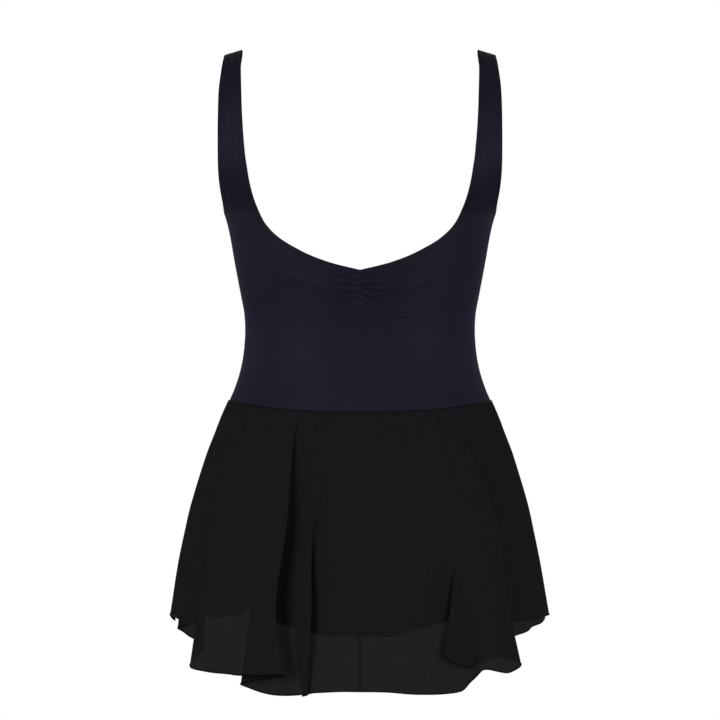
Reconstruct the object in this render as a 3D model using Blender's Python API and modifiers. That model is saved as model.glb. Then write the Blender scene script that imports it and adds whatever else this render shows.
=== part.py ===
"""A skirted leotard (ballet dress) in its worn, hollow form: six cut pieces of cloth.

Lengths in this file are millimetres until a mesh is made. The photographed side is the back,
at -Y; the front is at +Y. Z is up, and the origin is the crest of the shoulders, midway
between the straps. Heights are given as drops below that crest.
"""

from bisect import bisect_right
from collections import namedtuple
from math import asin, cos, exp, hypot, pi, radians, sin, sqrt

import bmesh
import bpy

MM = 0.001
NAME = "ballet_dress"

# Cloth
KNIT_WALL = 1.4
CHIFFON_WALL = 1.2
SEAM_GAP = 0.3
SKIRT_STAND_OFF = 0.5

# Heights of the garment's landmarks
SHOULDER_DROP_BACK = 110.0
SHOULDER_DROP_FRONT = 135.0
STRAP_START = 124.0
UNDERARM = 190.0
BACK_NECK_DROP = 259.5
FRONT_NECK_DROP = 253.5
WAIST_SEAM = 410.0
WAIST_DIP_BACK = 12.5
WAIST_DIP_FRONT = 4.0
LEG_TOP = 604.0
SEAT_DROP = 585.0
GROIN_DROP = 565.0
CROTCH_DROP = 688.0

# Slope of the shoulders, as rise over run, about the middle of a strap
SHOULDER_SLOPE = 0.30
STRAP_MIDDLE = 148.5

# The gather at the centre of the back
GATHER_MIDDLE = 279.0
GATHER_HEIGHT = 17.0
GATHER_PITCH = 8.5
GATHER_FAN = 42.0
GATHER_REACH = 17.0
GATHER_DEPTH = 1.7

# The skirt: the levels between its seam and its hem where the folds are also set, its rows,
# how much closer together they are near the seam, and how fast the seam's own outline gives
# way to the bell below it
FOLD_MIDDLE = 0.42
FOLD_LOW = 0.75
SKIRT_ROWS = 12
ROW_CROWDING = 1.25
SEAM_FADE = 3
FOLD_STEP = 15.0

BACK, FRONT = -1, 1

# The figure's horizontal sections: half the width, the depth to the back and to the front,
# and how square the section is (2 is an ellipse)
Section = namedtuple("Section", "drop half_width back front squareness")
BODY = [
    Section(0, 208.0, 104.0, 98.0, 3.00),
    Section(110, 205.0, 104.0, 98.0, 3.00),
    Section(135, 201.0, 105.0, 106.0, 2.95),
    Section(152, 192.0, 105.0, 112.0, 2.80),
    Section(168, 181.0, 104.5, 117.0, 2.60),
    Section(180, 168.5, 104.0, 120.0, 2.45),
    Section(186, 163.0, 103.8, 121.0, 2.41),
    Section(190, 159.6, 103.5, 122.0, 2.38),
    Section(212, 153.6, 102.0, 124.0, 2.34),
    Section(249, 147.0, 98.0, 121.0, 2.30),
    Section(287, 139.8, 91.0, 112.0, 2.28),
    Section(306, 136.2, 87.5, 106.5, 2.26),
    Section(325, 135.0, 85.0, 102.5, 2.25),
    Section(343, 135.7, 84.0, 100.5, 2.25),
    Section(362, 138.0, 85.5, 100.5, 2.25),
    Section(381, 142.4, 89.5, 102.5, 2.25),
    Section(400, 149.0, 94.5, 106.0, 2.25),
    Section(410, 153.4, 97.5, 108.0, 2.25),
    Section(440, 161.0, 106.0, 110.5, 2.24),
    Section(480, 168.0, 115.0, 112.0, 2.22),
    Section(525, 172.0, 119.0, 110.0, 2.20),
    Section(565, 173.0, 118.0, 106.0, 2.20),
    Section(604, 172.5, 115.0, 103.0, 2.20),
    Section(690, 170.0, 112.0, 100.0, 2.20),
]

# Edges of the straps and of the leg openings, as the distance from the centre line
Edge = namedtuple("Edge", "drop out")
BACK_NECK = [
    Edge(0, 139.0), Edge(28, 138.0), Edge(48, 137.0), Edge(87, 135.0), Edge(124, 132.0),
    Edge(142, 129.5), Edge(160, 126.5), Edge(179, 121.5), Edge(198, 113.5), Edge(207, 108.0),
    Edge(216, 100.0), Edge(225, 89.0), Edge(234, 74.0), Edge(243, 56.0), Edge(252, 31.0),
    Edge(BACK_NECK_DROP, 0.0),
]
BACK_ARMHOLE = [
    Edge(0, 158.5), Edge(28, 161.0), Edge(48, 162.5), Edge(87, 163.0), Edge(124, 163.0),
    Edge(150, 162.5), Edge(168, 160.8), Edge(180, 159.2), Edge(186, 159.0), Edge(UNDERARM, 159.6),
]
FRONT_NECK = [
    Edge(0, 139.0), Edge(15, 143.0), Edge(35, 144.5), Edge(72, 144.0), Edge(110, 141.0),
    Edge(128, 138.5), Edge(148, 135.5), Edge(169, 130.0), Edge(189, 121.0), Edge(199, 115.5),
    Edge(208, 107.5), Edge(217, 96.0), Edge(226, 81.0), Edge(236, 61.0), Edge(246, 33.0),
    Edge(FRONT_NECK_DROP, 0.0),
]
FRONT_ARMHOLE = [
    Edge(0, 158.5), Edge(40, 162.5), Edge(80, 163.5), Edge(120, 161.5), Edge(150, 158.5),
    Edge(170, 157.5), Edge(180, 158.2), Edge(186, 159.0), Edge(UNDERARM, 159.6),
]
LEG_BACK = [
    Edge(LEG_TOP, 172.5), Edge(611, 168.5), Edge(629, 148.0), Edge(643, 127.0),
    Edge(656, 111.0), Edge(666, 93.0), Edge(673, 73.0), Edge(680, 51.0), Edge(CROTCH_DROP, 36.0),
]
LEG_FRONT = [
    Edge(LEG_TOP, 172.5), Edge(609, 160.0), Edge(619, 136.0), Edge(633, 106.0),
    Edge(650, 76.0), Edge(666, 54.0), Edge(680, 40.0), Edge(CROTCH_DROP, 36.0),
]

# Grid lines of a half panel: the drop at its inner edge and at its outer edge, and the
# number of steps up (or down) to it from the line before
Line = namedtuple("Line", "inner outer steps")
BACK_LINES = [
    Line(301.0, 262.0, 6), Line(BACK_NECK_DROP, 236.0, 12), Line(216.0, 207.0, 9),
    Line(188.0, UNDERARM, 3), Line(142.0, 152.0, 5), Line(STRAP_START, STRAP_START, 1),
]
FRONT_LINES = [
    Line(290.0, 258.0, 6), Line(FRONT_NECK_DROP, 232.0, 4), Line(214.0, 207.0, 9),
    Line(189.0, UNDERARM, 3), Line(146.0, 154.0, 5), Line(STRAP_START, STRAP_START, 2),
]
BRIEF_BACK_LINES = [Line(SEAT_DROP, LEG_TOP, 8)]
BRIEF_FRONT_LINES = [Line(GROIN_DROP, LEG_TOP, 7)]
STRAP_STEPS = 8
CROTCH_STEPS = 8
LEAST_STEP = 1.0

# Places of a half panel's columns, as shares of the way from its inner to its outer edge
BACK_COLUMNS = (0, 0.03, 0.065, 0.11, 0.165, 0.25, 0.36, 0.49, 0.62, 0.75, 0.88, 1)
PLAIN_COLUMNS = (0, 0.12, 0.25, 0.38, 0.51, 0.64, 0.76, 0.88, 1)

# The skirt's bell without its folds, by the share of the way from its seam to its hem
Bell = namedtuple("Bell", "fall side back front")
SKIRT = [
    Bell(0.00, 155.5, 103.0, 110.5),
    Bell(0.07, 163.4, 110.5, 115.5),
    Bell(0.15, 171.3, 118.5, 120.5),
    Bell(0.26, 182.0, 128.0, 127.0),
    Bell(0.48, 198.8, 146.0, 139.0),
    Bell(0.63, 207.0, 157.0, 147.5),
    Bell(0.78, 214.2, 167.0, 155.5),
    Bell(1.00, 222.5, 180.0, 166.0),
]

# Fold lines of the skirt, from the centre front round the left side, the back and the right
# side to the centre front: the angle from the centre back at the seam, the middle and the
# hem, how far the cloth stands out at the middle and the hem, and the drop of the hem. Where
# the angle runs back, the cloth laps over itself. Some also swing aside or outwards at the low
# level, from the straight run between the middle and the hem
Fold = namedtuple(
    "Fold", "seam middle middle_out hem hem_out drop swing swing_out", defaults=(0.0, 0.0)
)
FOLDS = [
    Fold(-180.0, -180.0, 2.0, -180.0, 5.0, 669.0),
    Fold(-175.0, -175.0, 2.0, -175.0, 5.0, 669.0),
    Fold(-167.0, -165.5, -3.0, -164.5, -7.0, 672.0),
    Fold(-157.0, -154.0, 4.0, -152.0, 9.0, 666.0),
    Fold(-149.0, -147.0, 5.0, -147.5, 11.0, 664.5),
    Fold(-140.0, -137.5, -2.0, -139.0, -5.0, 671.0),
    Fold(-129.0, -127.0, -4.0, -126.5, -9.0, 675.0),
    Fold(-118.0, -117.0, 4.0, -117.0, 8.0, 667.0),
    Fold(-110.0, -107.0, 5.0, -105.5, 9.0, 667.0),
    Fold(-101.0, -98.5, -1.0, -97.0, -2.0, 671.0),
    Fold(-90.0, -90.0, 0.0, -89.0, 3.0, 661.0),
    Fold(-79.0, -73.0, -3.0, -60.0, -6.0, 664.0),
    Fold(-73.0, -74.0, 4.0, -67.0, 5.0, 671.0),
    Fold(-67.0, -61.0, -2.0, -54.0, -3.0, 687.0),
    Fold(-58.0, -55.0, 5.0, -57.5, 8.0, 709.0),
    Fold(-46.0, -40.0, 6.0, -38.0, 11.0, 714.5),
    Fold(-26.0, -23.5, 7.0, -20.3, 12.0, 712.0, -3.3),
    Fold(-22.5, -34.5, -4.0, -38.0, -5.0, 727.0),
    Fold(-18.5, -24.5, -8.0, -27.5, -11.0, 737.0),
    Fold(-15.0, -16.0, -4.0, -15.8, -7.0, 735.0, 1.1, 6.0),
    Fold(-13.3, -15.3, -8.0, -18.5, -19.0, 738.5, -4.5, -1.0),
    Fold(-11.5, -12.3, -5.0, -14.0, -10.0, 733.0, 0.5, -2.0),
    Fold(-4.0, -4.0, -2.0, -5.0, -8.0, 731.0),
    Fold(0.0, 0.0, -2.0, 0.0, -8.0, 731.0),
    Fold(4.0, 4.0, -2.0, 5.0, -8.0, 731.0),
    Fold(9.0, 10.5, -1.0, 12.0, -7.0, 733.0),
    Fold(17.0, 20.0, 0.0, 22.5, -10.0, 736.0),
    Fold(24.0, 28.0, 0.0, 33.5, -16.0, 734.0),
    Fold(28.0, 33.5, 3.0, 35.5, -2.0, 720.0),
    Fold(31.0, 38.0, 5.0, 37.0, 10.0, 709.0),
    Fold(34.5, 44.5, 7.0, 45.0, 13.0, 714.0),
    Fold(38.5, 49.8, 7.0, 51.0, 12.0, 705.5, -1.8),
    Fold(43.0, 45.5, 2.0, 43.0, 2.0, 697.0),
    Fold(46.5, 40.0, -2.5, 34.0, -4.0, 707.0),
    Fold(50.0, 36.0, -5.0, 26.0, -8.0, 692.0),
    Fold(56.0, 45.0, -8.0, 38.0, -14.0, 681.0),
    Fold(66.0, 60.0, -4.0, 54.0, -10.0, 678.0),
    Fold(77.0, 73.0, -1.0, 68.0, -5.0, 669.0),
    Fold(90.0, 90.0, -1.0, 88.0, -3.0, 663.0),
    Fold(99.0, 99.0, 2.0, 99.5, 4.0, 664.0),
    Fold(108.0, 109.0, 4.0, 111.0, 8.0, 673.0),
    Fold(117.0, 120.0, 0.0, 121.5, -2.0, 679.0),
    Fold(127.0, 130.0, -4.0, 131.0, -10.0, 674.0),
    Fold(137.0, 139.5, 4.0, 138.5, 8.0, 665.0),
    Fold(147.0, 148.5, 5.0, 150.5, 10.0, 665.0),
    Fold(157.5, 158.0, -2.0, 159.5, -6.0, 671.0),
    Fold(167.0, 167.0, 0.0, 167.5, -1.0, 671.0),
    Fold(175.0, 175.0, 2.0, 175.0, 5.0, 669.0),
    Fold(180.0, 180.0, 2.0, 180.0, 5.0, 669.0),
]


def columns_of(table):
    """Turns a table's rows into one list of values for each named column."""
    return {name: [getattr(row, name) for row in table] for name in table[0]._fields}


def slope(knots, values, i):
    low, high = max(i - 1, 0), min(i + 1, len(knots) - 1)
    return (values[high] - values[low]) / (knots[high] - knots[low])


def along(knots, values, at):
    """Value at a place on a smooth curve through the values at the knots."""
    at = min(max(at, knots[0]), knots[-1])
    i = min(bisect_right(knots, at), len(knots) - 1) - 1
    span = knots[i + 1] - knots[i]
    t = (at - knots[i]) / span
    start, end = slope(knots, values, i) * span, slope(knots, values, i + 1) * span
    return (
        (2 * t**3 - 3 * t**2 + 1) * values[i]
        + (t**3 - 2 * t**2 + t) * start
        + (3 * t**2 - 2 * t**3) * values[i + 1]
        + (t**3 - t**2) * end
    )


BODY_COLUMNS = columns_of(BODY)
SKIRT_COLUMNS = columns_of(SKIRT)


def body(name, drop):
    return along(BODY_COLUMNS["drop"], BODY_COLUMNS[name], drop)


def bell(name, fall):
    return along(SKIRT_COLUMNS["fall"], SKIRT_COLUMNS[name], fall)


def rounding(drop, side):
    """Share of the full depth: it shrinks to nothing over the shoulders and at the crotch."""
    shoulder = SHOULDER_DROP_BACK if side == BACK else SHOULDER_DROP_FRONT
    hip = SEAT_DROP if side == BACK else GROIN_DROP
    if drop < shoulder:
        return sqrt(max(0.0, 1 - (1 - drop / shoulder) ** 2))
    if drop > hip:
        return sqrt(max(0.0, 1 - ((drop - hip) / (CROTCH_DROP - hip)) ** 2))
    return 1.0


def gather(x, drop):
    """Height of the small fanned folds at the centre of the back."""
    level = (drop - GATHER_MIDDLE) / (1 + x / GATHER_FAN)
    window = exp(-((level / GATHER_HEIGHT) ** 4))
    reach = exp(-((x / GATHER_REACH) ** 2))
    return GATHER_DEPTH * window * reach * cos(2 * pi * level / GATHER_PITCH)


def body_point(turn, drop, side):
    """Point of the figure's surface, a turn from the centre line towards the side seam."""
    power = 2 / body("squareness", drop)
    x = body("half_width", drop) * max(0.0, sin(turn)) ** power
    depth = body("back" if side == BACK else "front", drop) * rounding(drop, side)
    y = depth * max(0.0, cos(turn)) ** power
    if side == BACK:
        y += gather(x, drop)
    shoulder = max(0.0, 1 - drop / SHOULDER_DROP_BACK)
    z = -drop - SHOULDER_SLOPE * (x - STRAP_MIDDLE) * shoulder
    return x, side * (y + SEAM_GAP / 2), z


def turn_of(x, drop):
    """Turn at which the section at this drop is x from the centre line."""
    share = min(1.0, max(0.0, x / body("half_width", drop)))
    return asin(share ** (body("squareness", drop) / 2))


def edge_turn(edge, drop):
    """Turn at which the line of an edge table lies at a drop."""
    knots = [row.drop for row in edge]
    return turn_of(along(knots, [row.out for row in edge], drop), drop)


def waist_seam(turn, side):
    dip = WAIST_DIP_BACK if side == BACK else WAIST_DIP_FRONT
    return WAIST_SEAM + dip * cos(turn) ** 2


def steps_to(lines, start):
    """Inner and outer drops of every grid line, from the start line on."""
    grid = [start]
    for line in lines:
        inner, outer = grid[-1]
        for k in range(1, line.steps + 1):
            share = k / line.steps
            grid.append((inner + (line.inner - inner) * share, outer + (line.outer - outer) * share))
    return grid


def half_panel(grid, shares, side, inner_turn, outer_turn):
    """Rows of points from the inner to the outer edge of a panel's +X half."""
    rows = []
    for inner, outer in grid:
        start, end = inner_turn(inner), outer_turn(outer)
        row = []
        for share in shares:
            drop = inner + (outer - inner) * sin(share * pi / 2) ** 2
            row.append(body_point(start + (end - start) * share, drop, side))
        rows.append(row)
    return rows


def bodice_grid(lines, side):
    """Grid lines of a bodice half, from the waist seam over the shoulder's crest."""
    start = (waist_seam(0, side) - SEAM_GAP / 2, waist_seam(pi / 2, side) - SEAM_GAP / 2)
    grid = steps_to(lines, start)
    shoulder = SHOULDER_DROP_BACK if side == BACK else SHOULDER_DROP_FRONT
    last = pi / 2 if STRAP_START >= shoulder else asin(sqrt(1 - (1 - STRAP_START / shoulder) ** 2))
    for k in range(STRAP_STEPS + 1):
        drop = shoulder * (1 - cos(last * (1 - k / STRAP_STEPS)))
        if drop < STRAP_START - LEAST_STEP:
            grid.append((drop, drop))
    return grid


def brief_grid(lines, side):
    """Grid lines of a brief half, from the waist seam under the crotch."""
    start = (waist_seam(0, side) + SEAM_GAP / 2, waist_seam(pi / 2, side) + SEAM_GAP / 2)
    grid = steps_to(lines, start)
    hip = SEAT_DROP if side == BACK else GROIN_DROP
    for k in range(1, CROTCH_STEPS + 1):
        share = k / CROTCH_STEPS
        inner = hip + (CROTCH_DROP - hip) * sin(share * pi / 2)
        outer = LEG_TOP + (CROTCH_DROP - LEG_TOP) * (1 - cos(share * pi)) / 2
        grid.append((inner, outer))
    return grid


def centre_turn(drop):
    return 0.0


def neck_turn(edge, neck_drop):
    return lambda drop: 0.0 if drop >= neck_drop else edge_turn(edge, drop)


def armhole_turn(edge):
    return lambda drop: pi / 2 if drop >= UNDERARM else edge_turn(edge, drop)


def leg_turn(edge):
    return lambda drop: pi / 2 if drop <= LEG_TOP else edge_turn(edge, drop)


def bell_point(angle, out, fall, drop):
    """Point of the skirt's bell at an angle from the centre back, out from its surface."""
    depth = bell("back" if cos(angle) > 0 else "front", fall)
    return (bell("side", fall) + out) * sin(angle), -(depth + out) * cos(angle), -drop


def seam_ring_point(angle):
    """Point at the skirt's seam, just outside the brief's wall."""
    side = BACK if cos(angle) > 0 else FRONT
    turn = asin(min(1.0, abs(sin(angle))))
    x, y, z = body_point(turn, waist_seam(turn, side), side)
    x = x if sin(angle) > 0 else -x
    length = hypot(x, y)
    away = KNIT_WALL / 2 + CHIFFON_WALL / 2 + SKIRT_STAND_OFF + SEAM_GAP
    return x * (1 + away / length), y * (1 + away / length), z


def skirt_half(first, last):
    """Rows of points of a skirt piece between two fold lines, from its seam to its hem."""
    values = columns_of(FOLDS)
    hem = [bell_point(radians(f.hem), f.hem_out, 1, f.drop) for f in FOLDS]
    run = [0.0]
    for a, b in zip(hem, hem[1:]):
        run.append(run[-1] + hypot(a[0] - b[0], a[1] - b[1], a[2] - b[2]))
    places = [run[first]]
    for k in range(first, last):
        steps = max(2, round((run[k + 1] - run[k]) / FOLD_STEP))
        places += [run[k] + (run[k + 1] - run[k]) * s / steps for s in range(1, steps + 1)]
    levels = (0.0, FOLD_MIDDLE, FOLD_LOW, 1.0)
    lower = (FOLD_LOW - FOLD_MIDDLE) / (1 - FOLD_MIDDLE)
    rows = []
    for r in range(SKIRT_ROWS + 1):
        fall = (r / SKIRT_ROWS) ** ROW_CROWDING
        row = []
        for place in places:
            at = {name: along(run, values[name], place) for name in values}
            low = at["middle"] + (at["hem"] - at["middle"]) * lower + at["swing"]
            angle = radians(along(levels, (at["seam"], at["middle"], low, at["hem"]), fall))
            low_out = at["middle_out"] + (at["hem_out"] - at["middle_out"]) * lower
            low_out += at["swing_out"]
            out = along(levels, (0.0, at["middle_out"], low_out, at["hem_out"]), fall)
            top = seam_ring_point(radians(at["seam"]))
            drop = -top[2] + (at["drop"] + top[2]) * fall
            plain = bell_point(radians(at["seam"]), 0.0, 0.0, 0.0)
            point = bell_point(angle, out, fall, drop)
            keep = (1 - fall) ** SEAM_FADE
            row.append(
                (
                    point[0] + (top[0] - plain[0]) * keep,
                    point[1] + (top[1] - plain[1]) * keep,
                    point[2] - SEAM_GAP / 2,
                )
            )
        rows.append(row)
    return rows


def moved_across(rows, shift):
    return [[(x + shift, y, z) for x, y, z in row] for row in rows]


def material(name, colour, roughness, sheen):
    made = bpy.data.materials.new(name)
    made.use_nodes = True
    shader = made.node_tree.nodes["Principled BSDF"]
    shader.inputs["Base Color"].default_value = (*colour, 1)
    shader.inputs["Roughness"].default_value = roughness
    shader.inputs["Sheen Weight"].default_value = sheen
    return made


def cloth(name, rows, wall, finish, mirrored, outward):
    """An open grid of points as a closed wall of cloth, its faces towards the outward side."""
    mesh = bpy.data.meshes.new(name)
    bm = bmesh.new()
    grid = [[bm.verts.new([c * MM for c in point]) for point in row] for row in rows]
    for low, high in zip(grid, grid[1:]):
        for a, b, c, d in zip(low, low[1:], high[1:], high):
            corners = (a, b, c, d) if outward else (d, c, b, a)
            bm.faces.new(corners)
    bm.to_mesh(mesh)
    bm.free()
    mesh.shade_smooth()
    mesh.materials.append(finish)
    piece = bpy.data.objects.new(name, mesh)
    collection.objects.link(piece)
    if mirrored:
        mirror = piece.modifiers.new("other half", "MIRROR")
        mirror.use_axis[0] = True
        mirror.merge_threshold = 0.0001
        mirror.use_clip = True
    solid = piece.modifiers.new("wall", "SOLIDIFY")
    solid.thickness = wall * MM
    solid.offset = 0
    return piece


def make_bodice(finish):
    back = half_panel(
        bodice_grid(BACK_LINES, BACK), BACK_COLUMNS, BACK,
        neck_turn(BACK_NECK, BACK_NECK_DROP), armhole_turn(BACK_ARMHOLE),
    )
    front = half_panel(
        bodice_grid(FRONT_LINES, FRONT), PLAIN_COLUMNS, FRONT,
        neck_turn(FRONT_NECK, FRONT_NECK_DROP), armhole_turn(FRONT_ARMHOLE),
    )
    cloth("bodice_back", back, KNIT_WALL, finish, mirrored=True, outward=True)
    cloth("bodice_front", front, KNIT_WALL, finish, mirrored=True, outward=False)


def make_brief(finish):
    back = half_panel(
        brief_grid(BRIEF_BACK_LINES, BACK), PLAIN_COLUMNS, BACK,
        centre_turn, leg_turn(LEG_BACK),
    )
    front = half_panel(
        brief_grid(BRIEF_FRONT_LINES, FRONT), PLAIN_COLUMNS, FRONT,
        centre_turn, leg_turn(LEG_FRONT),
    )
    cloth("brief_back", back, KNIT_WALL, finish, mirrored=True, outward=False)
    cloth("brief_front", front, KNIT_WALL, finish, mirrored=True, outward=True)


def make_skirt(finish):
    centre = next(k for k, fold in enumerate(FOLDS) if fold.seam == 0)
    left = moved_across(skirt_half(0, centre), -SEAM_GAP / 2)
    right = moved_across(skirt_half(centre, len(FOLDS) - 1), SEAM_GAP / 2)
    cloth("skirt_left", left, CHIFFON_WALL, finish, mirrored=False, outward=False)
    cloth("skirt_right", right, CHIFFON_WALL, finish, mirrored=False, outward=False)


for old in list(bpy.data.objects):
    bpy.data.objects.remove(old, do_unlink=True)
collection = bpy.data.collections.new(NAME)
bpy.context.scene.collection.children.link(collection)
make_bodice(material("stretch_knit", (0.012, 0.012, 0.019), 0.6, 0.25))
make_brief(material("brief_knit", (0.012, 0.012, 0.019), 0.6, 0.25))
make_skirt(material("chiffon", (0.008, 0.008, 0.009), 0.75, 0.1))
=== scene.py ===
"""The skirted leotard dressed: stretch-knit bodice and brief, sheer chiffon skirt, sewing.

The frame holds six rigid cloth walls. Each is replaced here by a thinner, finer cloth on the
same form, worked out from the same sections, edges and folds. Lengths are millimetres until a
mesh is made. The photographed side is the back, at -Y. Heights are drops below the shoulders.
"""

from bisect import bisect_right
from collections import namedtuple
from math import asin, cos, exp, hypot, pi, radians, sin, sqrt

import bmesh
import bpy
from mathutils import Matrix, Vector
from mathutils.bvhtree import BVHTree


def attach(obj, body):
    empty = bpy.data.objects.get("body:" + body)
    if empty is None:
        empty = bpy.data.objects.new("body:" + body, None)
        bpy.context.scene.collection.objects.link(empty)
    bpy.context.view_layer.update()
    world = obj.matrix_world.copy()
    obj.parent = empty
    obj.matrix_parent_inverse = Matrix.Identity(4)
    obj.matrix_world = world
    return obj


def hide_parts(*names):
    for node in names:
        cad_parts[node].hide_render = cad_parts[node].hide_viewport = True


MM = 0.001
BODY_NAME = "root"

# Cloth and sewing
KNIT_WALL = 1.4
CHIFFON_WALL = 1.2
SEAM_GAP = 0.3
SKIRT_STAND_OFF = 0.5
KNIT_THICK = 0.9
SEAM_SHOWS = 0.04
SEAM_DIP = 0.55
SEAM_DIP_FADE = 24.0
SEAM_DIP_WIDTH = 1.3
SEAM_DIP_GUARD = 50.0
TURNED_WIDTH = 8.0
EDGE_ROLL = 0.75
STITCH_LINES = (4.6, 7.2)
STITCH_PITCH = 3.1
STITCH_LENGTH = 2.3
STITCH_RADIUS = 0.30
STITCH_KNOTS = (-1, -0.6, 0.6, 1)
GATHER_LINE_RADIUS = 0.36
GATHER_LINE_SUNK = 0.02
GATHER_LINE_TAPER = 14
GATHER_STEPS = 90
CLEARANCE = 0.05
ROLL_INSET = 0.45
ROLL_STEP = 2.5
BAND_THICK = 0.5
BAND_RIM = 0.6
BAND_TURN = 1.0
BAND_END = 0.6
BAND_SUNK = 0.45
JOIN_GAP = 0.5
SEAM_HALF_WIDTH = 1.7
SEAM_INSIDE = 0.7
# The dark tube along the waist seam is a painted shadow in the gap between bodice and skirt
SEAM_SHADOW_RADIUS = 0.75
RING_AWAY = 1.25
RING_START = 0.0001
RING_STEPS = 220

# Heights of the garment's landmarks
SHOULDER_DROP_BACK = 110.0
SHOULDER_DROP_FRONT = 135.0
STRAP_START = 124.0
UNDERARM = 190.0
BACK_NECK_DROP = 259.5
FRONT_NECK_DROP = 253.5
WAIST_SEAM = 410.0
WAIST_DIP_BACK = 12.5
WAIST_DIP_FRONT = 4.0
LEG_TOP = 604.0
SEAT_DROP = 585.0
GROIN_DROP = 565.0
CROTCH_DROP = 688.0
SHOULDER_SLOPE = 0.30
STRAP_MIDDLE = 148.5

# The skirt
FOLD_MIDDLE = 0.42
FOLD_LOW = 0.75
SKIRT_ROWS = 64
ROW_CROWDING = 1.2
SEAM_FADE = 3
HEM_STEP = 4.5
HEM_ROLL = 0.8

# Creases: how far they reach in half widths and past their ends, where they are deepest and
# how they taper, and the trough with its wider banks
CREASE_REACH = 4
CREASE_OVERRUN = 0.3
CREASE_DEEPEST = 0.45
CREASE_TAPER = 0.75
CREASE_TROUGH = 1.35
CREASE_BANK = 0.55
CREASE_SPREAD = 2

# Gathers under the waist seam and ripples of the hem
TUCK_REACH = 4
TUCK_START = 0.012
TUCK_BANK = 0.5
TUCK_SPREAD = 2.2
RUFFLE_START = 0.45
RUFFLE = 1.5
RUFFLE_PITCH = 9.5
RUFFLE_DRIFT = 37.0
FINE_RUFFLE = 0.9
FINE_RUFFLE_PITCH = 5.1

# Tubes: the direction their rings start from and how thin a tapered tip is
TUBE_UP = (0.3, 0.2, 1.0)
TUBE_PARALLEL = 0.05
TUBE_TIP = 0.35
WELD_DISTANCE = 0.00001
NEAR = 0.01

# Colours, as linear light
KNIT_LOW = (0.0036, 0.0036, 0.0064)
KNIT_HIGH = (0.0090, 0.0090, 0.0142)
KNIT_EDGE_COLOUR = (0.0085, 0.0085, 0.0140)
THREAD_COLOUR = (0.0120, 0.0120, 0.0180)
# Thread of the gather line, darkened with painted shade of its groove
THREAD_AND_GROOVE_SHADE_COLOUR = (0.0062, 0.0062, 0.0098)
# Painted shadow: colour of the dark tube in the gap of the waist seam
SEAM_SHADOW_COLOUR = (0.0030, 0.0030, 0.0048)
CHIFFON_LOW = (0.0052, 0.0052, 0.0063)
CHIFFON_HIGH = (0.0084, 0.0084, 0.0100)
HEM_COLOUR = (0.0022, 0.0022, 0.0024)
GLOSS = (0.0020, 0.0021, 0.0036)
SHEEN_TINT = (0.8, 0.8, 1.0, 1)

# Finish of the cloths: shine, yarns for each metre, and heights of the relief in metres
CLOTH_ROUGHNESS = 0.9
GLOSS_ROUGHNESS = 0.42
SHEEN = 0.046
SHEEN_ROUGHNESS = 0.4
KNIT_MOTTLE = 420.0
KNIT_BROAD = 26.0
MOTTLE_SHARE = 0.75
KNIT_COLUMNS = 420.0
KNIT_COURSES = 560.0
KNIT_WAVER = 0.5
LOOP_HEIGHT = 0.0002
KNIT_UNEVENNESS = 0.0006
STREAKS = 260.0
STREAK_STRETCH = (1.0, 0.5, 1.0)
CHIFFON_YARNS = 520.0
CHIFFON_WAVER = 0.8
YARN_HEIGHT = 0.0001
LEAST_COVER = 0.9915
MOST_COVER = 0.9965
THREAD_ROUGHNESS = 0.8
THREAD_SPECULAR = 0.02
THREAD_TWIST = 1800.0
THREAD_SHADE = 0.6

# Camera and lights, in metres. The strap light only adds to the cloth's sheen
CAMERA_DISTANCE = 3.0
CAMERA_HEIGHT = -0.3622
CAMERA_SEES = 0.8496
SENSOR_WIDTH = 36.0
SURROUND_LIGHT = 0.14
Light = namedtuple("Light", "name place target size power diffuse", defaults=(True,))
LIGHTS = [
    Light("key", (-2.0, -2.5, -0.1), (0, 0, -0.35), (1.6, 1.6), 92),
    Light("fill", (2.0, -2.5, -0.3), (0, 0, -0.35), (1.6, 1.8), 86),
    Light("rim_left", (-2.3, 0.5, 0.0), (0, 0, -0.2), (1.2, 1.4), 34),
    Light("rim_right", (2.3, 0.5, 0.0), (0, 0, -0.2), (1.2, 1.4), 30),
    Light("front_left", (1.6, 2.9, -0.1), (0, 0, -0.35), (1.6, 1.8), 60),
    Light("front_right", (-1.6, 2.9, -0.1), (0, 0, -0.35), (1.6, 1.8), 50),
    Light("strap_light", (-0.3, -2.4, 2.0), (0, 0, -0.1), (2.2, 0.8), 60, False),
]

BACK, FRONT = -1, 1

# The figure's horizontal sections: half the width, the depth to the back and to the front,
# and how square the section is (2 is an ellipse)
Section = namedtuple("Section", "drop half_width back front squareness")
BODY = [
    Section(0, 208.0, 104.0, 98.0, 3.00),
    Section(110, 205.0, 104.0, 98.0, 3.00),
    Section(135, 201.0, 105.0, 106.0, 2.95),
    Section(152, 192.0, 105.0, 112.0, 2.80),
    Section(168, 181.0, 104.5, 117.0, 2.60),
    Section(180, 168.5, 104.0, 120.0, 2.45),
    Section(186, 163.0, 103.8, 121.0, 2.41),
    Section(190, 159.6, 103.5, 122.0, 2.38),
    Section(212, 153.6, 102.0, 124.0, 2.34),
    Section(249, 147.0, 98.0, 121.0, 2.30),
    Section(287, 139.8, 91.0, 112.0, 2.28),
    Section(306, 136.2, 87.5, 106.5, 2.26),
    Section(325, 135.0, 85.0, 102.5, 2.25),
    Section(343, 135.7, 84.0, 100.5, 2.25),
    Section(362, 138.0, 85.5, 100.5, 2.25),
    Section(381, 142.4, 89.5, 102.5, 2.25),
    Section(400, 149.0, 94.5, 106.0, 2.25),
    Section(410, 153.4, 97.5, 108.0, 2.25),
    Section(440, 161.0, 106.0, 110.5, 2.24),
    Section(480, 168.0, 115.0, 112.0, 2.22),
    Section(525, 172.0, 119.0, 110.0, 2.20),
    Section(565, 173.0, 118.0, 106.0, 2.20),
    Section(604, 172.5, 115.0, 103.0, 2.20),
    Section(690, 170.0, 112.0, 100.0, 2.20),
]

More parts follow.
